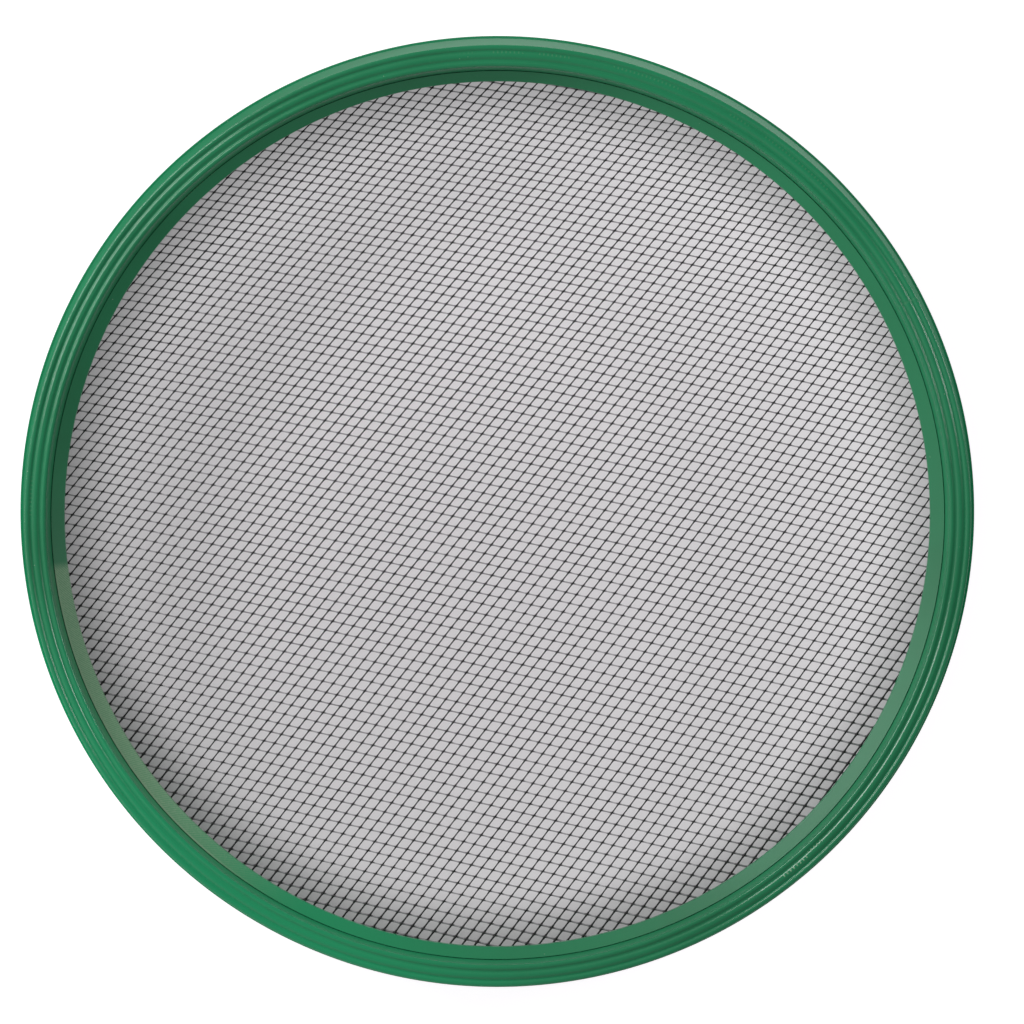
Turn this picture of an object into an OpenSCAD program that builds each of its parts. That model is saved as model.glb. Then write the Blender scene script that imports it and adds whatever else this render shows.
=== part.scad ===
// Drum sieve: a ribbed moulded hoop, a flat woven wire cloth on a ledge inside it,
// and a bevelled clamp ring that snaps into the hoop and holds the cloth down.
// Millimetres. The foot stands on z = 0 and the z axis is the axis of the hoop.

/* [Hoop] */
// Outside diameter over the foot bead
hoop_d = 300; // [200:5:400]
// Height from the foot to the tops of the ribs
hoop_h = 45; // [38:1:80]
// Thickness of the moulded walls
wall_t = 2; // [1.6:0.1:2.6]
// How far the foot stands out past the rim
skirt_flare = 3.1; // [2:0.1:6]
// Radius of the bead round the foot
foot_bead_r = 1.2; // [0.8:0.1:1.8]

/* [Ribbed rim] */
// Number of ribs on the rim
rib_count = 3; // [3:1:6]
// Distance from one rib to the next
rib_pitch = 2.65; // [2.4:0.05:3.5]
// Crest radius of the first and the last rib
rib_r = 1.05; // [0.8:0.05:1.2]
// Crest radius of the ribs between them
mid_rib_r = 1.3; // [0.9:0.05:1.5]
// Depth of the grooves between the ribs
groove_depth = 0.5; // [0.3:0.1:0.8]
// How much wider the mouth is than the bore below it, on the radius
mouth_taper = 0.6; // [0.2:0.1:1.2]

/* [Webs inside the rim] */
// Number of stiffening webs round the hoop
web_count = 32; // [8:4:48]
// Thickness of each web
web_t = 1.2; // [0.8:0.1:2]

/* [Clamp ring] */
// Height of the clamp ring
ring_h = 6.5; // [4.5:0.1:8]
// Width of its underside, which bears on the cloth
ring_w = 3.9; // [2.8:0.1:5]
// Width of the flat land on its top edge
ring_land = 0.7; // [0.4:0.1:1.2]
// Height of the plain upright face under its bevel
ring_lip = 4.3; // [0.3:0.1:4.4]
// Radial gap between the clamp ring and the bore
ring_gap = 0.1; // [0.05:0.05:0.3]
// Radius of the snap bead round the clamp ring
snap_r = 0.5; // [0.3:0.05:0.7]
// How far the ledge under the cloth stops short of the clamp ring's bore
ledge_setback = 0.5; // [0.2:0.1:1.2]

/* [Wire cloth] */
// Depth of the cloth's middle plane below the tops of the ribs
cloth_depth = 16.7; // [13:0.1:22]
// Wires in each direction
wire_count = 19; // [9:1:19]
// Diameter of the wire
wire_d = 0.6; // [0.4:0.05:1]
// Gap between two wires where they cross
weave_gap = 0.1; // [0.05:0.05:0.2]
// Gap between the crimped wires and what clamps them
seat_gap = 0.05; // [0.02:0.01:0.2]
// How far the wire ends stop short of the bore
end_gap = 0.6; // [0.3:0.1:1]
// Direction of the warp wires
warp_angle = 51.5; // [40:0.5:60]
// Direction of the weft wires
weft_angle = 167.5; // [150:0.5:180]

/* [Hidden] */
$fn = 180;

wire_sides = 6;
plastic = "#217a4d";
bright_plastic = "#2b8a59";
dark_steel = "#3d3a3c";
steel = "#8c8a8c";

// Radii of the rim, from the outside in
foot_r = hoop_d / 2;
shoulder_r = foot_r - skirt_flare;
first_crest_r = shoulder_r - rib_r;
last_crest_r = first_crest_r - (rib_count - 1) * rib_pitch;
mouth_r = last_crest_r - rib_r;
bore_r = mouth_r - mouth_taper;
ring_outer_r = bore_r - ring_gap;
ring_inner_r = ring_outer_r - ring_w;
ledge_r = ring_inner_r + ledge_setback;
wire_end_r = bore_r - end_gap;

// Heights of the rim
shoulder_z = hoop_h - rib_r;
groove_z = hoop_h - groove_depth;
rim_floor_z = groove_z - wall_t;

// Spacing of the wires, and of their crossings along a wire
wire_pitch = 2 * ring_inner_r / wire_count;
weave_angle = weft_angle - warp_angle;
crossing_pitch = wire_pitch / sin(weave_angle);

// The crimp is a zigzag with its turns at the crossings, high enough to clear the
// other wire over the whole width of the crossing
crossing_half = wire_d / (2 * sin(weave_angle));
crimp = (wire_d + weave_gap) / (2 * (1 - 2 * crossing_half / crossing_pitch));

// Heights of the cloth and of what holds it
cloth_z = hoop_h - cloth_depth;
cloth_half = crimp + wire_d / 2 + seat_gap;
ring_z = cloth_z + cloth_half;
ledge_z = cloth_z - cloth_half;
ledge_foot_z = ledge_z - wall_t;
mouth_z = ring_z + ring_h + ring_gap;
snap_z = ring_z + ring_h / 2;

function crest_r(i) = first_crest_r - i * rib_pitch;
function crest_radius(i) = i == 0 || i == rib_count - 1 ? rib_r : mid_rib_r;

// Along is a unit vector in the direction a, and across is square to it
function along(a) = [cos(a), sin(a)];
function across(a) = [-sin(a), cos(a)];
function wire_offset(i) = (i - (wire_count - 1) / 2) * wire_pitch;

// Place of the crossing with wire j of the other direction, measured along wire i
function crossing_at(i, j, a, b) =
    (wire_offset(j) - wire_offset(i) * (across(a) * across(b))) / (along(a) * across(b));

// Turns of one wire as [place along it, height], with level ends in the clamp
function wire_path(i, a, b, side) =
    let (
        end = sqrt(pow(wire_end_r, 2) - pow(wire_offset(i), 2)),
        raw = [for (j = [0:wire_count - 1])
            [crossing_at(i, j, a, b), side * crimp * ((i + j) % 2 == 0 ? 1 : -1)]],
        ordered = raw[0][0] < raw[1][0] ? raw : [for (k = [len(raw) - 1:-1:0]) raw[k]],
        turns = [for (t = ordered) if (abs(t[0]) < end) t]
    )
    concat([[-end, turns[0][1]]], turns, [[end, turns[len(turns) - 1][1]]]);

// Outline of the rim: a block with a round crest for each rib
module rim_outline() {
    translate([mouth_r, rim_floor_z])
        square([shoulder_r - mouth_r, shoulder_z - rim_floor_z]);
    translate([last_crest_r, rim_floor_z])
        square([first_crest_r - last_crest_r, groove_z - rim_floor_z]);
    for (i = [0:rib_count - 1])
        translate([crest_r(i), hoop_h - crest_radius(i)])
            circle(r = crest_radius(i), $fn = 48);
}

// Outline of the flared outer skirt and its foot bead
module skirt_outline() {
    skirt_foot_r = foot_r - foot_bead_r;
    polygon([
        [skirt_foot_r - wall_t, 0],
        [skirt_foot_r, 0],
        [shoulder_r, shoulder_z],
        [shoulder_r - wall_t, shoulder_z]
    ]);
    translate([skirt_foot_r, foot_bead_r])
        circle(r = foot_bead_r, $fn = 48);
}

// Outline of the inner skirt with its tapered mouth, its snap groove and its ledge
module inner_skirt_outline() {
    difference() {
        polygon([
            [ledge_r, ledge_foot_z],
            [bore_r + wall_t, ledge_foot_z],
            [bore_r + wall_t, shoulder_z],
            [mouth_r, shoulder_z],
            [bore_r, mouth_z],
            [bore_r, ledge_z],
            [ledge_r, ledge_z]
        ]);
        translate([ring_outer_r, snap_z])
            circle(r = snap_r + ring_gap, $fn = 32);
    }
}

// One web: a flat plate let into both skirts and the rim
module web() {
    skirt_lean = (foot_r - foot_bead_r - shoulder_r) / shoulder_z;
    top_r = shoulder_r - wall_t / 2;
    foot_in_skirt_r = top_r + skirt_lean * (shoulder_z - ledge_foot_z);
    rotate([90, 0, 0])
        linear_extrude(web_t, center = true)
            polygon([
                [bore_r + wall_t / 2, ledge_foot_z],
                [foot_in_skirt_r, ledge_foot_z],
                [top_r, shoulder_z - wall_t / 2],
                [bore_r + wall_t / 2, shoulder_z - wall_t / 2]
            ]);
}

module drum_hoop() {
    color(plastic) {
        rotate_extrude() {
            rim_outline();
            skirt_outline();
            inner_skirt_outline();
        }
        for (i = [0:web_count - 1])
            rotate([0, 0, i * 360 / web_count])
                web();
    }
}

module clamp_ring() {
    color(bright_plastic)
        rotate_extrude() {
            polygon([
                [ring_inner_r, ring_z],
                [ring_outer_r, ring_z],
                [ring_outer_r, ring_z + ring_h],
                [ring_outer_r - ring_land, ring_z + ring_h],
                [ring_inner_r, ring_z + ring_lip]
            ]);
            translate([ring_outer_r, snap_z])
                circle(r = snap_r, $fn = 32);
        }
}

// One crimped wire, swept along its turns in a single skin of triangles
module wire(i, a, b, side) {
    path = wire_path(i, a, b, side);
    rings = len(path);
    points = [for (p = path) for (k = [0:wire_sides - 1])
        let (
            turn = 360 * (k + 0.5) / wire_sides,
            flat = along(a) * p[0] + across(a) * (wire_offset(i) + wire_d / 2 * cos(turn))
        )
        [flat[0], flat[1], cloth_z + p[1] + wire_d / 2 * sin(turn)]];
    sides = [for (n = [0:rings - 2]) for (k = [0:wire_sides - 1])
        let (
            near = n * wire_sides + k,
            next = n * wire_sides + (k + 1) % wire_sides
        )
        each [
            [near, next, next + wire_sides],
            [near, next + wire_sides, near + wire_sides]
        ]];
    first_cap = [for (k = [1:wire_sides - 2]) [0, k + 1, k]];
    last = (rings - 1) * wire_sides;
    last_cap = [for (k = [1:wire_sides - 2]) [last, last + k, last + k + 1]];
    polyhedron(points, concat(sides, first_cap, last_cap));
}

module warp_wires() {
    color(dark_steel)
        for (i = [0:wire_count - 1])
            wire(i, warp_angle, weft_angle, 1);
}

module weft_wires() {
    color(steel)
        for (i = [0:wire_count - 1])
            wire(i, weft_angle, warp_angle, -1);
}

drum_hoop();
clamp_ring();
warp_wires();
weft_wires();
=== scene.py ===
"""Drum sieve: a ribbed green plastic hoop, a bevelled clamp ring and a woven wire cloth.

Sizes are in millimetres and angles in degrees, unless a comment says otherwise, and every
mesh is scaled to metres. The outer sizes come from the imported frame, so the pieces sit
where the solids are.
"""
import math

import bmesh
import bpy
from mathutils import Matrix, Vector


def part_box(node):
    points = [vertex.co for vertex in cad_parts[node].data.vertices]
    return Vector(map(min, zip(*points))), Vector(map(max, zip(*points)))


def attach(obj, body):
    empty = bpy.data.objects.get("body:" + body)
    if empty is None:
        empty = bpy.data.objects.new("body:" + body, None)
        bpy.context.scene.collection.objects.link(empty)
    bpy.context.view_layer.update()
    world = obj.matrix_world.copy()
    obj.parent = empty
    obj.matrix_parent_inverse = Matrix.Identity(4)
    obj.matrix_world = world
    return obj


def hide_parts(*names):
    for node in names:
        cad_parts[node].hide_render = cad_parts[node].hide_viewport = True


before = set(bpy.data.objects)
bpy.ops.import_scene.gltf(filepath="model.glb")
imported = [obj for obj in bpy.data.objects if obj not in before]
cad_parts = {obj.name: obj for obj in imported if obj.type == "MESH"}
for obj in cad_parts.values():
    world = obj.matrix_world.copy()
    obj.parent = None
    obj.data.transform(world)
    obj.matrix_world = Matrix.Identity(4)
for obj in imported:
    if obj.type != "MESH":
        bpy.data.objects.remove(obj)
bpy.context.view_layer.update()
MM = 0.001


class Value:
    """A node socket in an expression: arithmetic on it adds Math nodes."""

    def __init__(self, graph, socket):
        self.graph = graph
        self.socket = socket

    def _math(self, operation, *values):
        settings = {"operation": operation}
        return self.graph.node("ShaderNodeMath", settings, dict(enumerate(values)))

    def __add__(self, other):
        return self._math("ADD", self, other)

    def __radd__(self, other):
        return self._math("ADD", other, self)

    def __sub__(self, other):
        return self._math("SUBTRACT", self, other)

    def __rsub__(self, other):
        return self._math("SUBTRACT", other, self)

    def __mul__(self, other):
        return self._math("MULTIPLY", self, other)

    def __rmul__(self, other):
        return self._math("MULTIPLY", other, self)

    def __truediv__(self, other):
        return self._math("DIVIDE", self, other)

    def abs(self):
        return self._math("ABSOLUTE", self)

    def cos(self):
        return self._math("COSINE", self)

    def over(self, level):
        return self._math("GREATER_THAN", self, level)

    def power(self, other):
        return self._math("POWER", self.abs(), other)

    def atan2(self, other):
        return self._math("ARCTAN2", self, other)


class Graph:
    """A node tree that is being built."""

    def __init__(self, tree):
        self.tree = tree

    def node(self, kind, settings=None, sockets=None, out=0):
        """Adds a node, sets its settings, then its sockets, and wraps one output."""
        node = self.tree.nodes.new(kind)
        for name, setting in (settings or {}).items():
            setattr(node, name, setting)
        for name, value in (sockets or {}).items():
            if isinstance(value, Value):
                self.tree.links.new(value.socket, node.inputs[name])
            else:
                node.inputs[name].default_value = value
        return Value(self, node.outputs[out])

    def output(self, value, name):
        """Another output of the node that made this value."""
        return Value(self, value.socket.node.outputs[name])

    def end(self, kind, value):
        """Links a value to a new output node of this kind."""
        self.tree.links.new(value.socket, self.tree.nodes.new(kind).inputs[0])

    def split(self, vector):
        """The x, y and z of a vector."""
        x = self.node("ShaderNodeSeparateXYZ", None, {0: vector})
        return x, self.output(x, "Y"), self.output(x, "Z")

    def vector(self, operation, *vectors, out=0):
        """A Vector Math node on up to three vectors, with out=1 for a plain number."""
        settings = {"operation": operation}
        return self.node("ShaderNodeVectorMath", settings, dict(enumerate(vectors)), out)

    def scaled(self, vector, scale):
        """A vector times a number."""
        sockets = {0: vector, "Scale": scale}
        return self.node("ShaderNodeVectorMath", {"operation": "SCALE"}, sockets)

    def length(self, vector):
        """The length of a vector."""
        return self.vector("LENGTH", vector, out=1)

    def from_axis(self, spot):
        """How far a place is from the axis of the hoop."""
        return self.length(self.vector("MULTIPLY", spot, (1.0, 1.0, 0.0)))

    def mix(self, factor, first, second):
        """A mix of two colours. Their sockets share a name with others, so go by number."""
        sockets = {0: factor, 6: first, 7: second}
        return self.node("ShaderNodeMix", {"data_type": "RGBA"}, sockets, 2)

    def ramp(self, value, low, high, to_low=0.0, to_high=1.0):
        """A smooth step from low to high."""
        sockets = {"Value": value, "From Min": low, "From Max": high, "To Min": to_low,
                   "To Max": to_high}
        return self.node("ShaderNodeMapRange", {"interpolation_type": "SMOOTHSTEP"}, sockets)

    def noise(self, vector, scale, detail=2.0, roughness=0.5):
        """Smooth noise around 0.5."""
        sockets = {"Vector": vector, "Scale": scale, "Detail": detail, "Roughness": roughness}
        return self.node("ShaderNodeTexNoise", None, sockets)


# Sizes from the frame, and what is measured from them

def box_mm(node):
    """A node's lowest and highest corner in millimetres."""
    return [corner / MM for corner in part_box(node)]


hoop_hi = box_mm("drum_hoop")[1]
ring_lo, ring_hi = box_mm("clamp_ring")
wire_lo, wire_hi = box_mm("warp_wires")

FOOT_R = hoop_hi.x
TOP_Z = hoop_hi.z
RING_Z = ring_lo.z
RING_TOP_Z = ring_hi.z
CLOTH_Z = (wire_lo.z + wire_hi.z) / 2

# Walls, and how far the bore stands in from the foot
WALL_T = 2.0
FOOT_BEAD_R = 0.7
BORE_SETBACK = 11.1
BORE_R = FOOT_R - BORE_SETBACK

# Clamp ring, with a narrow land on top and a plain upright lip under its bevel
RING_GAP = 0.04
RING_W = 4.2
RING_LAND = 0.12
RING_LIP = 4.3
RING_OUTER_R = BORE_R - RING_GAP
RING_INNER_R = RING_OUTER_R - RING_W

# Ledge under the cloth, and where the wires end
LEDGE_SETBACK = 0.5
WIRE_END_GAP = 1.2
LEDGE_R = RING_INNER_R + LEDGE_SETBACK
LEDGE_Z = 2 * CLOTH_Z - RING_Z
LEDGE_FOOT_Z = LEDGE_Z - WALL_T
WIRE_END_R = BORE_R - WIRE_END_GAP

# Ribs from the outside in: radius of each crest, and radius of its round top
RIBS = ((145.8, 1.0), (143.3, 1.42), (140.75, 0.91))
RIB_VALLEYS_R = (144.65, 141.9)
RIB_DEPTH = 0.5
RIB_VALLEY_Z = TOP_Z - RIB_DEPTH
RIM_FLOOR_Z = RIB_VALLEY_Z - WALL_T

# The outermost crest turns down this many degrees, to a crisp edge over the skirt
BROW = 48.0
EDGE_R = 0.15
SHOULDER_R = RIBS[0][0] + (RIBS[0][1] - EDGE_R) * math.sin(math.radians(BROW)) + EDGE_R
SHOULDER_Z = TOP_Z - RIBS[0][1] + (RIBS[0][1] - EDGE_R) * math.cos(math.radians(BROW))
SKIRT_FOOT_R = FOOT_R - FOOT_BEAD_R
SKIRT_LEAN = (SKIRT_FOOT_R - SHOULDER_R) / SHOULDER_Z

# The innermost crest turns down this many degrees, to the tapered face of the mouth,
# which ends just over the clamp ring
MOUTH_TURN = 84.0
MOUTH_GAP = 0.1

# Snap groove behind the clamp ring: half its height, and its depth
SNAP_HALF = 0.6
SNAP_DEPTH = 0.45

# Flat strips that keep the shading of a wall clear of its round edges
WALL_LAND = 1.0
FOOT_LAND = 0.3

# A fillet takes at most this share of a side, and has a short flat land either side
FILLET_SHARE = 0.4
FILLET_LAND = 0.12

# Stiffening webs between the skirts: how far each is let in at its top, its foot, its
# inner and its outer side, and its thickness at the foot and at the top
WEB_COUNT = 32
WEB_IN_RIM = 0.4
WEB_IN_LEDGE = 0.2
WEB_IN_INNER_SKIRT = 0.6
WEB_IN_OUTER_SKIRT = 0.5
WEB_FOOT_T = 0.9
WEB_TOP_T = 1.2

# The real hoop measures this share less from front to back than across, and is bent out of
# round between these two radii
SQUEEZE = 0.0025
ROUND_R = 136.0
OVAL_R = 138.6

# Its rim is bent a little further between these two heights: drawn in all round, shifted
# and squashed, with the directions of the shift and of the long axis
BENT_FROM_Z = 4.0
BENT_TO_Z = 28.0
RIM_DRAWN_IN = 0.12
RIM_SHIFT = 0.29
RIM_SHIFT_TO = -62.0
RIM_SQUASH = 0.17
RIM_LONG_AXIS = 5.0


# Outlines of the mouldings, as points (r, z)

def arc(centre_r, centre_z, radius, start, end, steps):
    """Points along an arc from one angle to another."""
    turns = [math.radians(start + (end - start) * n / steps) for n in range(steps + 1)]
    return [(centre_r + radius * math.cos(a), centre_z + radius * math.sin(a)) for a in turns]


def rounded(corners, steps=5):
    """Rounds each corner (r, z, fillet), with a short flat land either side of its arc."""
    points = []
    count = len(corners)
    for n, (r, z, fillet) in enumerate(corners):
        if fillet == 0:
            points.append((r, z))
            continue
        here = Vector((r, z))
        before = Vector(corners[n - 1][:2]) - here
        after = Vector(corners[(n + 1) % count][:2]) - here
        half = before.angle(after) / 2
        reach = min(fillet / math.tan(half), FILLET_SHARE * min(before.length, after.length))
        radius = reach * math.tan(half)
        before.normalize()
        after.normalize()
        middle = here + (before + after).normalized() * (radius / math.sin(half))
        start = here + before * reach - middle
        sweep = start.angle_signed(here + after * reach - middle)
        points.append(tuple(here + before * (reach + FILLET_LAND)))
        for k in range(steps + 1):
            turn = -sweep * k / steps
            arm = Vector((start.x * math.cos(turn) - start.y * math.sin(turn),
                          start.x * math.sin(turn) + start.y * math.cos(turn)))
            points.append(tuple(middle + arm))
        points.append(tuple(here + after * (reach + FILLET_LAND)))
    return points


def rib_side(rib, valley_r):
    """Points from a rib's crest to the valley beside it: a round top, then a hollow."""
    crest_r, top_r = rib
    reach = abs(valley_r - crest_r)
    side = 1 if valley_r > crest_r else -1
    turn = 2 * math.degrees(math.atan2(RIB_DEPTH, reach))
    hollow_r = reach / math.sin(math.radians(turn)) - top_r
    down = arc(0, -top_r, top_r, 90, 90 - turn, steps=5)
    hollow = arc(reach, hollow_r - RIB_DEPTH, hollow_r, 270 - turn, 270, steps=4)
    return [(crest_r + side * r, TOP_Z + z) for r, z in down + hollow[1:]]


def rib_outline():
    """The rim's top, from the edge over the skirt to the start of the mouth's taper."""
    outer_rib, middle_rib, inner_rib = RIBS
    outer_valley_r, inner_valley_r = RIB_VALLEYS_R
    lean = math.degrees(math.atan(SKIRT_LEAN))
    edge = arc(SHOULDER_R - EDGE_R, SHOULDER_Z, EDGE_R, lean, 90 - BROW, steps=3)
    brow = arc(outer_rib[0], TOP_Z - outer_rib[1], outer_rib[1], 90 - BROW, 90, steps=6)
    mouth = arc(inner_rib[0], TOP_Z - inner_rib[1], inner_rib[1], 90, 90 + MOUTH_TURN, steps=8)
    points = edge + brow[1:]
    points += rib_side(outer_rib, outer_valley_r)[1:]
    points += rib_side(middle_rib, outer_valley_r)[-2::-1]
    points += rib_side(middle_rib, inner_valley_r)[1:]
    points += rib_side(inner_rib, inner_valley_r)[-2::-1]
    return points + mouth[1:]


def hoop_section():
    """The hoop: ribbed rim, flared outer skirt, inner skirt with mouth, groove and ledge."""
    lean = math.degrees(math.atan(SKIRT_LEAN))
    bead = arc(SKIRT_FOOT_R, FOOT_BEAD_R, FOOT_BEAD_R, -90, 90 + lean, steps=14)
    bead_top_z = FOOT_BEAD_R * 2 + WALL_LAND
    skirt = [(SKIRT_FOOT_R - SKIRT_LEAN * bead_top_z, bead_top_z),
             (SHOULDER_R + SKIRT_LEAN * WALL_LAND, SHOULDER_Z - WALL_LAND)]
    outer = bead + skirt + rib_outline()
    brow_r, brow_z = outer[-1]
    mouth_z = RING_TOP_Z + MOUTH_GAP
    taper = (brow_r - BORE_R) / (brow_z - mouth_z)
    snap_z = (RING_Z + RING_TOP_Z) / 2
    skirt_inside_r = SHOULDER_R - WALL_T + SKIRT_LEAN * (SHOULDER_Z - RIM_FLOOR_Z)
    inner = rounded([
        (brow_r - taper * WALL_LAND, brow_z - WALL_LAND, 0),
        (BORE_R, mouth_z, 0.1),
        (BORE_R, snap_z + SNAP_HALF, 0),
        (BORE_R + SNAP_DEPTH, snap_z, 0.2),
        (BORE_R, snap_z - SNAP_HALF, 0),
        (BORE_R, LEDGE_Z, 0.2),
        (LEDGE_R, LEDGE_Z, 0.25),
        (LEDGE_R, LEDGE_FOOT_Z, 0.4),
        (BORE_R + WALL_T, LEDGE_FOOT_Z, 0.5),
        (BORE_R + WALL_T, RIM_FLOOR_Z, 0.5),
        (skirt_inside_r, RIM_FLOOR_Z, 0.5),
        (SKIRT_FOOT_R - WALL_T, 0, 0.5),
        (SKIRT_FOOT_R - FOOT_LAND, 0, 0),
    ], steps=3)
    return outer + inner


def ring_section():
    """The clamp ring: flat underside, plain lip, bevel and a narrow flat land on top."""
    return rounded([
        (RING_INNER_R, RING_Z, 0.2),
        (RING_INNER_R, RING_Z + RING_LIP, 0.3),
        (RING_OUTER_R - RING_LAND, RING_TOP_Z, 0.05),
        (RING_OUTER_R, RING_TOP_Z, 0.04),
        (RING_OUTER_R, RING_Z, 0.2),
    ])


# Geometry node trees

# Inputs of a tree that bends a moulding out of round, and what they are set to
OVAL_INPUTS = {"Squeeze": "Float", "Rim shift": "Float", "Rim squash": "Float",
               "Rim drawn in": "Float"}
OVAL_VALUES = {"Squeeze": SQUEEZE, "Rim shift": RIM_SHIFT * MM, "Rim squash": RIM_SQUASH * MM,
               "Rim drawn in": RIM_DRAWN_IN * MM}


def new_tree(name, inputs):
    """A geometry tree with named inputs, and its wrapped inputs."""
    tree = bpy.data.node_groups.new(name, "GeometryNodeTree")
    tree.interface.new_socket("Geometry", in_out="INPUT", socket_type="NodeSocketGeometry")
    for label, kind in inputs.items():
        tree.interface.new_socket(label, in_out="INPUT", socket_type="NodeSocket" + kind)
    tree.interface.new_socket("Geometry", in_out="OUTPUT", socket_type="NodeSocketGeometry")
    graph = Graph(tree)
    source = graph.node("NodeGroupInput")
    return graph, {s.name: Value(graph, s) for s in source.socket.node.outputs if s.name}


def finish_tree(graph, mesh, material):
    """Ends a tree in smooth shading, Realize Instances and Set Material."""
    smooth = graph.node("GeometryNodeSetShadeSmooth", None, {"Geometry": mesh})
    real = graph.node("GeometryNodeRealizeInstances", None, {"Geometry": smooth})
    done = graph.node("GeometryNodeSetMaterial", None, {"Geometry": real, "Material": material})
    graph.end("NodeGroupOutput", done)
    return graph.tree


def make_piece(name, tree, values, points=(), edges=(), faces=()):
    """Runs a tree on a small source mesh and keeps the result as a plain mesh object."""
    mesh = bpy.data.meshes.new(name)
    mesh.from_pydata(points, edges, faces)
    piece = bpy.data.objects.new(name, mesh)
    bpy.context.scene.collection.objects.link(piece)
    modifier = piece.modifiers.new("shape", "NODES")
    modifier.node_group = tree
    for item in tree.interface.items_tree:
        if item.in_out == "INPUT" and item.name in values:
            modifier[item.identifier] = values[item.name]
    graph = bpy.context.evaluated_depsgraph_get()
    result = bpy.data.meshes.new_from_object(piece.evaluated_get(graph))
    piece.modifiers.clear()
    piece.data = result
    result.name = name
    bpy.data.meshes.remove(mesh)
    return piece


def out_of_round(graph, mesh, put):
    """Bends a mesh out of round past the clamp ring's bore, and its rim a little more."""
    spot = graph.node("GeometryNodeInputPosition")
    x, y, z = graph.split(spot)
    reach = graph.from_axis(spot)
    angle = y.atan2(x)
    share = graph.ramp(reach, ROUND_R * MM, OVAL_R * MM)
    height = graph.ramp(z, BENT_FROM_Z * MM, BENT_TO_Z * MM)
    shift = put["Rim shift"] * (angle - math.radians(RIM_SHIFT_TO)).cos()
    squash = put["Rim squash"] * (2 * (angle - math.radians(RIM_LONG_AXIS))).cos()
    bend = (shift + squash - put["Rim drawn in"]) * height
    scale = 1 + bend * share / reach
    scales = graph.node("ShaderNodeCombineXYZ", None, {
        0: scale, 1: scale * (1 - put["Squeeze"] * share), 2: 1.0})
    place = graph.vector("MULTIPLY", spot, scales)
    return graph.node("GeometryNodeSetPosition", None, {"Geometry": mesh, "Position": place})


def revolve_tree():
    """Sweeps a section round the axis, a little out of round."""
    graph, put = new_tree("moulding swept round the axis", {
        "Segments": "Int", "Path radius": "Float", "Material": "Material", **OVAL_INPUTS})
    section = graph.node("GeometryNodeMeshToCurve", None, {"Mesh": put["Geometry"]})
    path = graph.node("GeometryNodeCurvePrimitiveCircle", None, {
        "Resolution": put["Segments"], "Radius": put["Path radius"]})
    swept = graph.node("GeometryNodeCurveToMesh", None, {0: path, 1: section})
    return finish_tree(graph, out_of_round(graph, swept, put), put["Material"])


def still_points(graph, count):
    """Points that all lie in the middle, one for each copy."""
    return graph.node("GeometryNodeMeshLine", None, {"Count": count, "Offset": (0.0, 0.0, 0.0)})


def spokes_tree():
    """Repeats a plate round the axis."""
    graph, put = new_tree("plates round the axis", {
        "Count": "Int", "Material": "Material", **OVAL_INPUTS})
    turn = graph.node("GeometryNodeInputIndex") * math.tau / put["Count"]
    turned = graph.node("ShaderNodeCombineXYZ", None, {2: turn})
    plates = graph.node("GeometryNodeInstanceOnPoints", None, {
        "Points": still_points(graph, put["Count"]), "Instance": put["Geometry"],
        "Rotation": turned})
    real = graph.node("GeometryNodeRealizeInstances", None, {"Geometry": plates})
    return finish_tree(graph, out_of_round(graph, real, put), put["Material"])


# The cloth: place of a crossing (i, j), in millimetres from the middle. A weft wire runs
# along i and a warp wire along j. The steps change slowly over the cloth, which was
# stretched askew when it was clamped, and the pinch draws it together towards the rim.
CLOTH_MIDDLE = (-0.563, 4.208, 0.0)
WEFT_STEP = (3.25, -0.7164, 0.0)
WARP_STEP = (2.0955, 2.6356, 0.0)
WEFT_BOW = (0.0011, -0.0014, 0.0)
SHEAR = (-0.0027, 0.00173, 0.0)
WARP_BOW = (-0.00183, -0.00377, 0.0)
PINCH = 9e-7

# Wires each way, numbered from the middle, and how they are shared out over two pieces. A
# wire has as many crossings as there are wires across it.
FIRST_WIRE = -52.5
WIRE_COUNT = 105
FIRST_WIRES = 52
MIDDLE_WIRE = FIRST_WIRE + FIRST_WIRES
LAST_WIRES = WIRE_COUNT - FIRST_WIRES
RINGS_PER_CROSSING = 3
WIRE_SIDES = 6

# Radii of the wires, height of their crimp, and by what share they swell at a crossing
WARP_R = 0.178
WEFT_R = 0.2
CRIMP = 0.3
WARP_KNUCKLE = 0.6
WEFT_KNUCKLE = 0.3
KNUCKLE_SHARPNESS = 3

# Near the rim of the lower half the wires are this much heavier, and get painted shade
HEAVY_FROM_R = 119.0
HEAVY_TO_R = 136.0
HEAVY_FROM_Y = 10.0
HEAVY_TO_Y = -80.0
HEAVIER = 1.45


def heavier_and_painted_shade_share(graph, reach, y):
    """How much heavier a wire is, and how much painted shade it gets, from its distance to the
    middle and its y.
    """
    low = graph.ramp(y, HEAVY_TO_Y * MM, HEAVY_FROM_Y * MM, 1.0, 0.0)
    return graph.ramp(reach, HEAVY_FROM_R * MM, HEAVY_TO_R * MM) * low


def crossing_place(graph, i, j):
    """Place of the crossing (i, j) before the pinch, in millimetres."""
    place = CLOTH_MIDDLE
    for step, amount in ((WEFT_STEP, i), (WARP_STEP, j), (WEFT_BOW, i * i), (SHEAR, i * j),
                         (WARP_BOW, j * j)):
        place = graph.vector("ADD", place, graph.scaled(step, amount))
    return place


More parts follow.
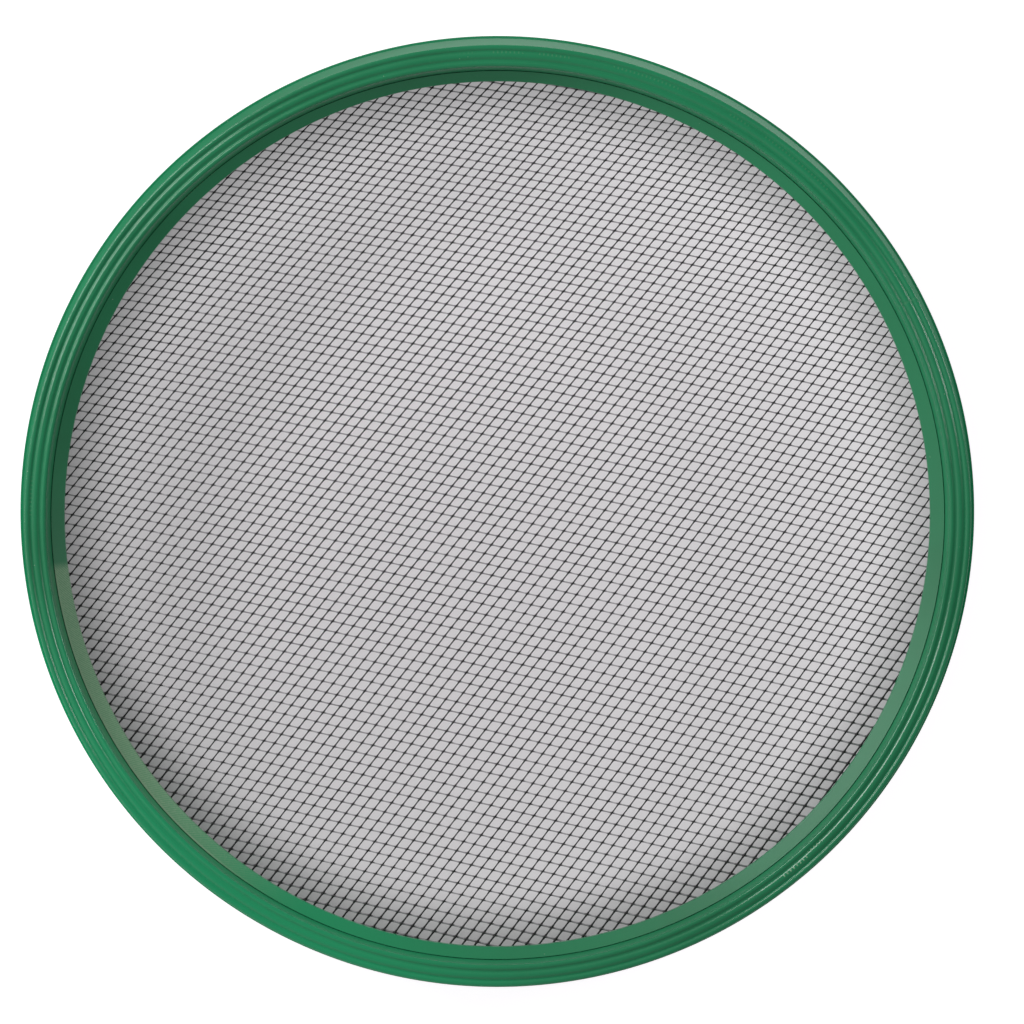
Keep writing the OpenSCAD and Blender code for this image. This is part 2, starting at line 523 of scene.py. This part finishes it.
def cloth_tree(along_j):
    """One family of crimped wires: along_j makes the warp, otherwise the weft."""
    name = "warp wires" if along_j else "weft wires"
    graph, put = new_tree(name, {
        "First wire": "Float", "Wires": "Int", "First crossing": "Float", "Crossings": "Int",
        "Rings per crossing": "Int", "Wire radius": "Float", "Sides": "Int", "Crimp": "Float",
        "Knuckle": "Float", "Height": "Float", "Reach": "Float", "Pinch": "Float",
        "Scale": "Float", "Material": "Material"})
    line = graph.node("GeometryNodeResampleCurve", None, {
        "Curve": graph.node("GeometryNodeCurvePrimitiveLine"),
        "Count": put["Crossings"] * put["Rings per crossing"] + 1})
    wires = graph.node("GeometryNodeInstanceOnPoints", None, {
        "Points": still_points(graph, put["Wires"]), "Instance": line})
    wires = graph.node("GeometryNodeRealizeInstances", None, {"Geometry": wires})

    # The nearness to a crossing is stored while the wires are whole
    number = graph.node("GeometryNodeFieldOnDomain", {"domain": "CURVE", "data_type": "INT"}, {
        0: graph.node("GeometryNodeInputIndex")})
    across = number + put["First wire"]
    along = graph.node("GeometryNodeSplineParameter") * put["Crossings"] + put["First crossing"]
    i, j = (across, along) if along_j else (along, across)
    wires = graph.node("GeometryNodeStoreNamedAttribute", {
        "data_type": "FLOAT", "domain": "POINT"}, {
        "Geometry": wires, "Name": "crossing", "Value": ((i + j) * math.pi).cos().abs()})

    place = crossing_place(graph, i, j)
    reach = graph.length(place)
    place = graph.scaled(place, 1 - put["Pinch"] * reach * reach)
    side = 1 if along_j else -1
    crimp = side * put["Crimp"] * ((i + j - 1) * math.pi).cos()
    lift = graph.node("ShaderNodeCombineXYZ", None, {2: crimp + put["Height"]})
    place = graph.vector("ADD", place, lift)
    wires = graph.node("GeometryNodeSetPosition", None, {
        "Geometry": wires, "Position": graph.scaled(place, put["Scale"])})

    spot = graph.node("GeometryNodeInputPosition")
    reach = graph.from_axis(spot)
    wires = graph.node("GeometryNodeDeleteGeometry", None, {
        "Geometry": wires, "Selection": reach.over(put["Reach"] * put["Scale"])})
    crossing = graph.node("GeometryNodeInputNamedAttribute", {"data_type": "FLOAT"}, {
        "Name": "crossing"})
    heavy = 1 + heavier_and_painted_shade_share(graph, reach, graph.split(spot)[1]) * (HEAVIER - 1)
    heavy = heavy * (1 + put["Knuckle"] * crossing.power(KNUCKLE_SHARPNESS))
    profile = graph.node("GeometryNodeCurvePrimitiveCircle", None, {
        "Resolution": put["Sides"], "Radius": put["Wire radius"] * put["Scale"]})
    tubes = graph.node("GeometryNodeCurveToMesh", None, {
        0: wires, 1: profile, "Scale": heavy, "Fill Caps": True})
    return finish_tree(graph, tubes, put["Material"])


# Materials: colours are linear, and a noise's scale is in features per metre

DEEP_GREEN = (0.006, 0.185, 0.072, 1.0)
PALE_GREEN = (0.008, 0.215, 0.086, 1.0)
# Scuffs and marks, and the clamp ring's painted highlight and painted reflection, go towards
# this pale green
SCUFF_AND_PAINTED_HIGHLIGHT_GREEN = (0.25, 0.43, 0.26, 1.0)
# Painted light on the mouth's face lightens it towards this green
PAINTED_LIGHT_GREEN = (0.04, 0.36, 0.16, 1.0)
DUST = (0.5, 0.6, 0.5, 1.0)

# Painted light: one side of the mouldings is painted lighter, and so, less, is the side
# opposite
SIDE_PAINTED_LIGHT_GREEN = (0.008, 0.31, 0.125, 1.0)
SIDE_PAINTED_LIGHT_DIRECTION = (-0.616, -0.788, 0.0)
SIDE_PAINTED_LIGHT_FROM = 96.0
SIDE_PAINTED_LIGHT_TO = 142.0
OPPOSITE_PAINTED_LIGHT_SHARE = 0.35

# Flow marks are soft clouds, between these two levels of their noise
NOISE_MIDDLE = 0.5
FLOW_SCALE = 26.0
CLOUD_LOW = 0.3
CLOUD_HIGH = 0.7
FLOW_ROUGHNESS = 0.08
SCUFF_ROUGHNESS = 0.12
GRAIN_SCALE = 2600.0

# Dust: specks per metre and their size in parts of a cell, and the patches they lie in
DUST_SCALE = 420.0
SPECK_FROM = 0.03
SPECK_TO = 0.09
DUST_PATCH_SCALE = 300.0
DUST_PATCH_LEVEL = 0.68
DUST_COVER = 0.5

# Skirt and mouth: the heights and the radius that bound them, how dull they are, and how much
# painted light lightens the mouth
SKIRT_EDGE = 0.1
SKIRT_FROM_R = 144.5
SKIRT_DULLNESS = 0.3
SKIRT_MATTE = 0.86
SKIRT_POLISH = 0.5
MOUTH_FROM_Z = 44.2
MOUTH_FULL_Z = 42.6
MOUTH_DULLNESS = 0.18
MOUTH_PAINTED_LIGHT = 0.15

# Marks round the hoop: the angles at which each starts, is full, fades and ends, and of
# the smaller ones also the radius and the half width of the band they lie in. Angles run
# to 180, where the chatter in the valley stops short.
POLISHED = (10.0, 55.0, 87.0, 132.0)
FIRST_NICKS = (-51.9, -51.6, -47.8, -47.5, 143.1, 0.42)
SECOND_NICKS = (-47.5, -47.2, -45.3, -45.0, 142.3, 0.36)
RIB_CHATTER = (36.0, 42.0, 90.0, 96.0, 143.8, 0.5)
VALLEY_CHATTER = (174.0, 176.0, 186.0, 188.0, 144.6, 0.5)
BAND_CORE = 0.4
BEAT_PITCH = 0.52
BEAT_LEVEL = 0.45
NICK_HEIGHT = 0.03
NICK_PALENESS = 0.75
CHATTER_PALENESS = 0.1
CHATTER_SCALE = 70.0
CHATTER_LEVEL = 0.48

# Weld seam, sink marks over the webs, and small scuffs
WELD_ANGLE = 27.5
WELD_HALF = 0.2
WELD_FROM_R = 139.8
WELD_TO_R = 140.4
WELD_DEPTH = 0.04
WELD_PALENESS = 0.06
SINK_R = 139.75
SINK_HALF = 1.4
SINK_SHARPNESS = 8
SINK_DEPTH = 0.012
SCUFF_SCALE = 900.0
SCUFF_LEVEL = 0.66
SCUFF_PALENESS = 0.015

# The clamp ring's rubbed place, with its slanted hatch, painted pale there also as a
# reflection; and a painted highlight, as a line and dots along its edge, which lies this far in
# from the ring's outside
RUBBED_AND_PAINTED_REFLECTION = (-174.0, -172.5, -146.0, -114.0)
RUB_AND_REFLECTION_PALENESS = 0.78
RUB_ROUGHNESS = 0.1
HATCH_PITCH = 0.36
HATCH_SLANT = 0.5
HATCH_PALENESS = 0.26
HATCH_HEIGHT = 0.006
SPECKLE_SCALE = 1500.0
SPECKLE_LEVEL = 0.55
SPECKLE_PALENESS = 0.2
PAINTED_EDGE_HIGHLIGHT_LINE = (-174.0, -168.0, -135.0, -120.0)
PAINTED_EDGE_HIGHLIGHT_DOTS = (-174.0, -171.0, -153.0, -150.0)
MORE_PAINTED_EDGE_HIGHLIGHT_DOTS = (129.0, 130.0, 135.0, 136.0)
PAINTED_EDGE_HIGHLIGHT_SETBACK = 0.45
PAINTED_EDGE_HIGHLIGHT_HALF = 0.35
PAINTED_EDGE_HIGHLIGHT_PALENESS = 0.5
DOT_PITCH = 0.5

# Wire: scales of its tone and of its drawn streaks, and where the painted shade at a crossing
# starts
WIRE_TONE_SCALE = 90.0
STREAK_SCALE = 2500.0
STREAK_ROUGHNESS = 0.2
CROSSING_FROM = 0.55


def new_material(name):
    """A node material and its graph."""
    material = bpy.data.materials.new(name)
    material.use_nodes = True
    material.node_tree.nodes.clear()
    return material, Graph(material.node_tree)


def object_radius(graph, spot):
    """Distance to the axis in mm, as it was before the hoop was squeezed."""
    flat = graph.vector("MULTIPLY", spot, (1.0, 1.0 + SQUEEZE, 0.0))
    return graph.length(flat) / MM


def band(graph, value, centre, half):
    """1 in the core of a band, falling smoothly to 0 at its edges."""
    return 1 - graph.ramp((value - centre).abs(), half * BAND_CORE, half)


def window(graph, value, places):
    """0 up to the first place, 1 between the second and the third, 0 past the fourth."""
    start, full, fade, end = places
    return graph.ramp(value, start, full) * (1 - graph.ramp(value, fade, end))


def patch(graph, angle, radius, place):
    """A mark between angles, in a band of radii."""
    return window(graph, angle, place[:4]) * band(graph, radius, *place[4:])


def ripple(value, pitch):
    """A wave of this pitch, between -1 and 1."""
    return (value * (math.tau / pitch)).cos()


def green_plastic(name, base_roughness, grain_height, marks):
    """Semi-gloss moulded plastic with flow marks, fine grain, dust and its own marks.

    The marks give their height in mm, and how pale, how much rougher, how matte and how much
    painted light lightens the colour. One side also gets painted light, the side opposite a
    little.
    """
    material, graph = new_material(name)
    spot = graph.node("ShaderNodeTexCoord", None, None, "Object")
    x, y, z = graph.split(spot)
    radius = object_radius(graph, spot)
    angle = y.atan2(x) * (180 / math.pi)
    height, pale, dull, matte, painted_light = marks(graph, spot, radius, angle, z / MM)

    cloud = graph.noise(spot, FLOW_SCALE, detail=3.0)
    colour = graph.mix(graph.ramp(cloud, CLOUD_LOW, CLOUD_HIGH), DEEP_GREEN, PALE_GREEN)
    # Painted light: one side is painted lighter, and the side opposite a little
    lean = graph.vector("DOT_PRODUCT", spot, SIDE_PAINTED_LIGHT_DIRECTION, out=1)
    painted_lit_side = graph.ramp(lean, SIDE_PAINTED_LIGHT_FROM * MM, SIDE_PAINTED_LIGHT_TO * MM)
    painted_opposite_side = graph.ramp(lean * -1, SIDE_PAINTED_LIGHT_FROM * MM, SIDE_PAINTED_LIGHT_TO * MM) * OPPOSITE_PAINTED_LIGHT_SHARE
    colour = graph.mix(painted_lit_side + painted_opposite_side, colour, SIDE_PAINTED_LIGHT_GREEN)
    # Painted light on the mouth's face
    colour = graph.mix(painted_light, colour, PAINTED_LIGHT_GREEN)
    # Scuffs and marks, with the clamp ring's painted highlight and painted reflection
    colour = graph.mix(pale, colour, SCUFF_AND_PAINTED_HIGHLIGHT_GREEN)
    specks = graph.node("ShaderNodeTexVoronoi", {"feature": "F1"}, {
        "Vector": spot, "Scale": DUST_SCALE})
    patches = graph.noise(spot, DUST_PATCH_SCALE, detail=0.0).over(DUST_PATCH_LEVEL)
    dust = (1 - graph.ramp(specks, SPECK_FROM, SPECK_TO)) * patches
    colour = graph.mix(dust * DUST_COVER, colour, DUST)

    grain = graph.noise(spot, GRAIN_SCALE, roughness=0.6)
    bump = graph.node("ShaderNodeBump", None, {
        "Strength": 1.0, "Distance": MM, "Height": grain * grain_height + height})
    rough = base_roughness + (cloud - NOISE_MIDDLE) * FLOW_ROUGHNESS
    rough = rough + pale * SCUFF_ROUGHNESS + dull
    glossy = graph.node("ShaderNodeBsdfPrincipled", None, {
        "Base Color": colour, "Roughness": rough, "Normal": bump})
    shineless = graph.node("ShaderNodeBsdfPrincipled", None, {
        "Base Color": colour, "Specular IOR Level": 0.0, "Normal": bump})
    blend = graph.node("ShaderNodeMixShader", None, {0: matte, 1: glossy, 2: shineless})
    graph.end("ShaderNodeOutputMaterial", blend)
    return material


def hoop_marks(graph, spot, radius, angle, z):
    """The hoop's marks: weld seam, nicks, tool chatter, sink marks, dull skirt and mouth, and
    painted light on the mouth.
    """
    beat = ripple(angle, BEAT_PITCH).over(BEAT_LEVEL)
    nicks = patch(graph, angle, radius, FIRST_NICKS) + patch(graph, angle, radius, SECOND_NICKS)
    chatter = patch(graph, angle, radius, RIB_CHATTER)
    chatter = chatter + patch(graph, angle, radius, VALLEY_CHATTER)
    patchy = graph.noise(spot, CHATTER_SCALE, detail=1.0).over(CHATTER_LEVEL)
    sinks = ripple(angle, 360 / WEB_COUNT).power(SINK_SHARPNESS)
    sinks = sinks * band(graph, radius, SINK_R, SINK_HALF)
    weld = band(graph, angle, WELD_ANGLE, WELD_HALF)
    weld = weld * graph.ramp(radius, WELD_FROM_R, WELD_TO_R)
    scuffs = graph.noise(spot, SCUFF_SCALE).over(SCUFF_LEVEL)
    height = weld * -WELD_DEPTH + nicks * beat * NICK_HEIGHT - sinks * SINK_DEPTH
    pale = nicks * beat * NICK_PALENESS + chatter * beat * patchy * CHATTER_PALENESS
    pale = pale + scuffs * SCUFF_PALENESS + weld * WELD_PALENESS

    outside = radius.over(SKIRT_FROM_R)
    skirt = (1 - graph.ramp(z, SHOULDER_Z - SKIRT_EDGE, SHOULDER_Z)) * outside
    mouth = (1 - graph.ramp(z, MOUTH_FULL_Z, MOUTH_FROM_Z)) * (1 - outside)
    dull = skirt * SKIRT_DULLNESS + mouth * MOUTH_DULLNESS
    matte = skirt * (SKIRT_MATTE - window(graph, angle, POLISHED) * SKIRT_POLISH)
    # The mouth's face gets painted light
    return height, pale, dull, matte, mouth * MOUTH_PAINTED_LIGHT


def ring_marks(graph, spot, radius, angle, _):
    """The clamp ring's marks: a rubbed place, partly a painted reflection, and a painted
    highlight along its edge. It has no matte places.
    """
    # The rubbed place: real hatch and speckle, with a paleness that is partly a painted
    # reflection
    rubbed_and_reflection = window(graph, angle, RUBBED_AND_PAINTED_REFLECTION)
    hatch = ripple(angle + radius * HATCH_SLANT, HATCH_PITCH)
    speckle = graph.noise(spot, SPECKLE_SCALE).over(SPECKLE_LEVEL)
    # Painted highlight along the ring's edge, as a line and dots
    dots = window(graph, angle, PAINTED_EDGE_HIGHLIGHT_DOTS) + window(graph, angle, MORE_PAINTED_EDGE_HIGHLIGHT_DOTS)
    dots = dots * ripple(angle, DOT_PITCH).over(0)
    painted_edge_highlight = band(graph, radius, RING_OUTER_R - PAINTED_EDGE_HIGHLIGHT_SETBACK, PAINTED_EDGE_HIGHLIGHT_HALF)
    painted_edge_highlight = painted_edge_highlight * (window(graph, angle, PAINTED_EDGE_HIGHLIGHT_LINE) + dots) * PAINTED_EDGE_HIGHLIGHT_PALENESS
    pale = rubbed_and_reflection * (RUB_AND_REFLECTION_PALENESS + hatch * HATCH_PALENESS + speckle * SPECKLE_PALENESS) + painted_edge_highlight
    return rubbed_and_reflection * hatch * HATCH_HEIGHT, pale, rubbed_and_reflection * RUB_ROUGHNESS, 0.0, 0.0


def wire_metal(name, dark, pale, painted_shade, roughness, rim_painted_shade_share):
    """Drawn wire, with painted shade on its crossings and, by a share, near the rim."""
    material, graph = new_material(name)
    spot = graph.node("ShaderNodeTexCoord", None, None, "Object")
    tone = graph.noise(spot, WIRE_TONE_SCALE)
    colour = graph.mix(graph.ramp(tone, CLOUD_LOW, CLOUD_HIGH), dark, pale)
    crossing = graph.node("ShaderNodeAttribute", {"attribute_name": "crossing"}, None, "Fac")
    # Painted shade where the wires cross
    colour = graph.mix(graph.ramp(crossing, CROSSING_FROM, 1.0), colour, painted_shade)
    # Painted shade near the rim of the lower half
    reach = object_radius(graph, spot) * MM
    rim = heavier_and_painted_shade_share(graph, reach, graph.split(spot)[1])
    colour = graph.mix(rim * rim_painted_shade_share, colour, painted_shade)
    streak = graph.noise(spot, STREAK_SCALE, detail=1.0)
    rough = roughness + (streak - NOISE_MIDDLE) * STREAK_ROUGHNESS
    metal = graph.node("ShaderNodeBsdfPrincipled", None, {
        "Base Color": colour, "Roughness": rough})
    graph.end("ShaderNodeOutputMaterial", metal)
    return material


# Pieces

# A moulding's section is drawn from this radius, and swept round a circle of it, in this
# many steps
PATH_R = 100.0
SEGMENTS = 720


def swept(name, section, material, node):
    """A moulding swept from its section, which stands for a node."""
    points = [((r - PATH_R) * MM, -z * MM, 0.0) for r, z in reversed(section)]
    edges = [(n, (n + 1) % len(points)) for n in range(len(points))]
    piece = make_piece(name, revolve_tree(), {
        "Segments": SEGMENTS, "Path radius": PATH_R * MM, "Material": material,
        **OVAL_VALUES}, points, edges)
    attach(piece, "root")
    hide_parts(node)
    return piece


def web_plate():
    """Corners and faces of one web plate, which tapers towards its foot."""
    top_z = RIM_FLOOR_Z + WEB_IN_RIM
    foot_z = LEDGE_FOOT_Z + WEB_IN_LEDGE
    inner_r = BORE_R + WALL_T - WEB_IN_INNER_SKIRT
    outer_top_r = SHOULDER_R - WALL_T + WEB_IN_OUTER_SKIRT
    outer_foot_r = outer_top_r + SKIRT_LEAN * (top_z - foot_z)
    points = []
    for thickness, z, far_r in (
            (WEB_FOOT_T, foot_z, outer_foot_r), (WEB_TOP_T, top_z, outer_top_r)):
        for r, side in ((inner_r, -1), (far_r, -1), (far_r, 1), (inner_r, 1)):
            points.append((r * MM, side * thickness / 2 * MM, z * MM))
    faces = [(3, 2, 1, 0), (4, 5, 6, 7), (0, 1, 5, 4), (1, 2, 6, 5), (2, 3, 7, 6), (3, 0, 4, 7)]
    return points, faces


def cloth(name, along_j, first_wire, wires, material):
    """A part of one family of wires."""
    piece = make_piece(name, cloth_tree(along_j), {
        "First wire": first_wire, "Wires": wires, "First crossing": FIRST_WIRE,
        "Crossings": WIRE_COUNT, "Rings per crossing": RINGS_PER_CROSSING,
        "Wire radius": WARP_R if along_j else WEFT_R, "Sides": WIRE_SIDES, "Crimp": CRIMP,
        "Knuckle": WARP_KNUCKLE if along_j else WEFT_KNUCKLE, "Height": CLOTH_Z,
        "Reach": WIRE_END_R, "Pinch": PINCH, "Scale": MM, "Material": material})
    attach(piece, "root")
    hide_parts("warp_wires" if along_j else "weft_wires")


hoop_green = green_plastic("moulded green hoop", base_roughness=0.22, grain_height=0.0012,
                           marks=hoop_marks)
ring_green = green_plastic("moulded green clamp ring", base_roughness=0.4, grain_height=0.012,
                           marks=ring_marks)
dark_wire = wire_metal("dark oxidised wire", dark=(0.02, 0.019, 0.02, 1),
                       pale=(0.04, 0.038, 0.04, 1), painted_shade=(0.004, 0.004, 0.004, 1),
                       roughness=0.55, rim_painted_shade_share=0.7)
grey_wire = wire_metal("dull bright wire", dark=(0.36, 0.345, 0.365, 1),
                       pale=(0.5, 0.48, 0.505, 1), painted_shade=(0.008, 0.008, 0.008, 1),
                       roughness=0.5, rim_painted_shade_share=0.35)

hoop = swept("ribbed_hoop", hoop_section(), hoop_green, "drum_hoop")
ring = swept("bevelled_clamp_ring", ring_section(), ring_green, "clamp_ring")

plate_points, plate_faces = web_plate()
webs = make_piece("hoop_webs", spokes_tree(), {
    "Count": WEB_COUNT, "Material": hoop_green, **OVAL_VALUES}, plate_points, (), plate_faces)
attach(webs, "root")
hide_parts("drum_hoop")

cloth("warp_wires_left", True, FIRST_WIRE, FIRST_WIRES, dark_wire)
cloth("warp_wires_right", True, MIDDLE_WIRE, LAST_WIRES, dark_wire)
cloth("weft_wires_near", False, FIRST_WIRE, FIRST_WIRES, grey_wire)
cloth("weft_wires_far", False, MIDDLE_WIRE, LAST_WIRES, grey_wire)


# Camera: far above the ribs and a little towards the far side, with a long lens. The
# picture is square, and the hoop's middle lies a little off the picture's.
PICTURE_PX = 1024
MM_PER_PIXEL = 0.30967
HOOP_CENTRE_PX = (497.34, 515.45)
CAMERA_HEIGHT = 2880.0
CAMERA_BACK = 0.0244
SENSOR = 36.0
CLIP_END_M = 100

camera_data = bpy.data.cameras.new("camera")
camera = bpy.data.objects.new("camera", camera_data)
bpy.context.scene.collection.objects.link(camera)
bpy.context.scene.camera = camera
aim = Vector(((PICTURE_PX / 2 - HOOP_CENTRE_PX[0]) * MM_PER_PIXEL,
              (HOOP_CENTRE_PX[1] - PICTURE_PX / 2) * MM_PER_PIXEL, TOP_Z)) * MM
eye = Vector((0, CAMERA_BACK * CAMERA_HEIGHT, CAMERA_HEIGHT + TOP_Z)) * MM
back = (eye - aim).normalized()
right = Vector((0, 1, 0)).cross(back).normalized()
up = back.cross(right)
camera.matrix_world = Matrix((right, up, back)).transposed().to_4x4()
camera.location = eye
camera_data.sensor_width = SENSOR
camera_data.lens = SENSOR * CAMERA_HEIGHT / (PICTURE_PX * MM_PER_PIXEL)
camera_data.clip_end = CLIP_END_M


# Stage and light: lengths from here on are in metres

# The lamps look at this place, just over the cloth
LAMP_AIM = Vector((0, 0, 0.03))


def softbox(name, azimuth, elevation, distance, width, height, watts):
    """A rectangular lamp that looks at the middle of the sieve."""
    data = bpy.data.lights.new(name, "AREA")
    data.shape = "RECTANGLE"
    data.size = width
    data.size_y = height
    data.energy = watts
    lamp = bpy.data.objects.new(name, data)
    bpy.context.scene.collection.objects.link(lamp)
    az, el = math.radians(azimuth), math.radians(elevation)
    away = Vector((math.cos(el) * math.cos(az), math.cos(el) * math.sin(az), math.sin(el)))
    lamp.location = LAMP_AIM + away * distance
    lamp.rotation_euler = (-away).to_track_quat("-Z", "Y").to_euler()


softbox("key softbox", azimuth=146, elevation=31, distance=1.1, width=0.76, height=0.2,
        watts=6.0)
softbox("strip softbox", azimuth=19, elevation=26, distance=2.0, width=0.6, height=0.14,
        watts=7.0)

# The tent round the sieve is brightest at the left and darkest overhead and at the right
TENT_WHITE = (1, 1, 1, 1)
TENT_SIDE = (-0.996, -0.087, 0.0)
TENT_LEVEL = 0.61
TENT_SWING = 0.39
TENT_OVERHEAD = 0.45

world = bpy.data.worlds.new("studio")
bpy.context.scene.world = world
world.use_nodes = True
world.node_tree.nodes.clear()
sky = Graph(world.node_tree)
direction = sky.node("ShaderNodeTexCoord", None, None, "Generated")
rise = sky.split(direction)[2]
turn = sky.vector("DOT_PRODUCT", direction, TENT_SIDE, out=1)
level = (turn * TENT_SWING + TENT_LEVEL) * (1 - rise * TENT_OVERHEAD)
tent = sky.node("ShaderNodeBackground", None, {"Color": TENT_WHITE, "Strength": level})
sky.end("ShaderNodeOutputWorld", tent)

# The floor glows: under the sieve as painted light, with its strength at the middle, how it
# grows towards the right, the far side and the rim, and the painted shade close under the rim;
# and past the sieve evenly, with this strength
FLOOR_R = 6.0
FLOOR_SIDES = 96
FLOOR_COLOUR = (0.58, 0.555, 0.57, 1)
FLOOR_GLOW = (0.975, 0.945, 0.975, 1)
INNER_GLOW = 0.35
INNER_GLOW_RISE = 0.5
INNER_GLOW_FAR = 0.55
INNER_GLOW_BOWL = 6.0
RIM_SHADE = 0.27
RIM_SHADE_FROM = 0.117
RIM_SHADE_TO = 0.14
OUTER_GLOW = 0.86
OUTSIDE_FROM = 0.147
OUTSIDE_TO = 0.1485


def pale_floor():
    """A plain pale floor: white where it is seen past the sieve, with the sieve's shadow."""
    mesh = bmesh.new()
    bmesh.ops.create_circle(mesh, cap_ends=True, segments=FLOOR_SIDES, radius=FLOOR_R)
    data = bpy.data.meshes.new("floor")
    mesh.to_mesh(data)
    mesh.free()
    floor = bpy.data.objects.new("floor", data)
    bpy.context.scene.collection.objects.link(floor)
    material, graph = new_material("pale floor")
    spot = graph.node("ShaderNodeTexCoord", None, None, "Object")
    across, ahead, _ = graph.split(spot)
    reach = graph.length(spot)
    inner = INNER_GLOW + across * INNER_GLOW_RISE + ahead * INNER_GLOW_FAR
    inner = inner + reach * reach * INNER_GLOW_BOWL
    inner = inner - graph.ramp(reach, RIM_SHADE_FROM, RIM_SHADE_TO) * RIM_SHADE
    outside = graph.ramp(reach, OUTSIDE_FROM, OUTSIDE_TO)
    strength = inner * (1 - outside) + outside * OUTER_GLOW

    # The glow is seen by the camera and in glossy surfaces, and lights nothing else
    seen = graph.node("ShaderNodeLightPath", None, None, "Is Camera Ray")
    mirrored = graph.output(seen, "Is Glossy Ray")
    through = graph.output(seen, "Is Transmission Ray")
    glow = graph.node("ShaderNodeEmission", None, {
        "Color": FLOOR_GLOW, "Strength": (seen + mirrored + through) * strength})
    paper = graph.node("ShaderNodeBsdfDiffuse", None, {"Color": FLOOR_COLOUR})
    both = graph.node("ShaderNodeAddShader", None, {0: paper, 1: glow})
    graph.end("ShaderNodeOutputMaterial", both)
    data.materials.append(material)


pale_floor()

bpy.context.scene.view_settings.view_transform = "Standard"
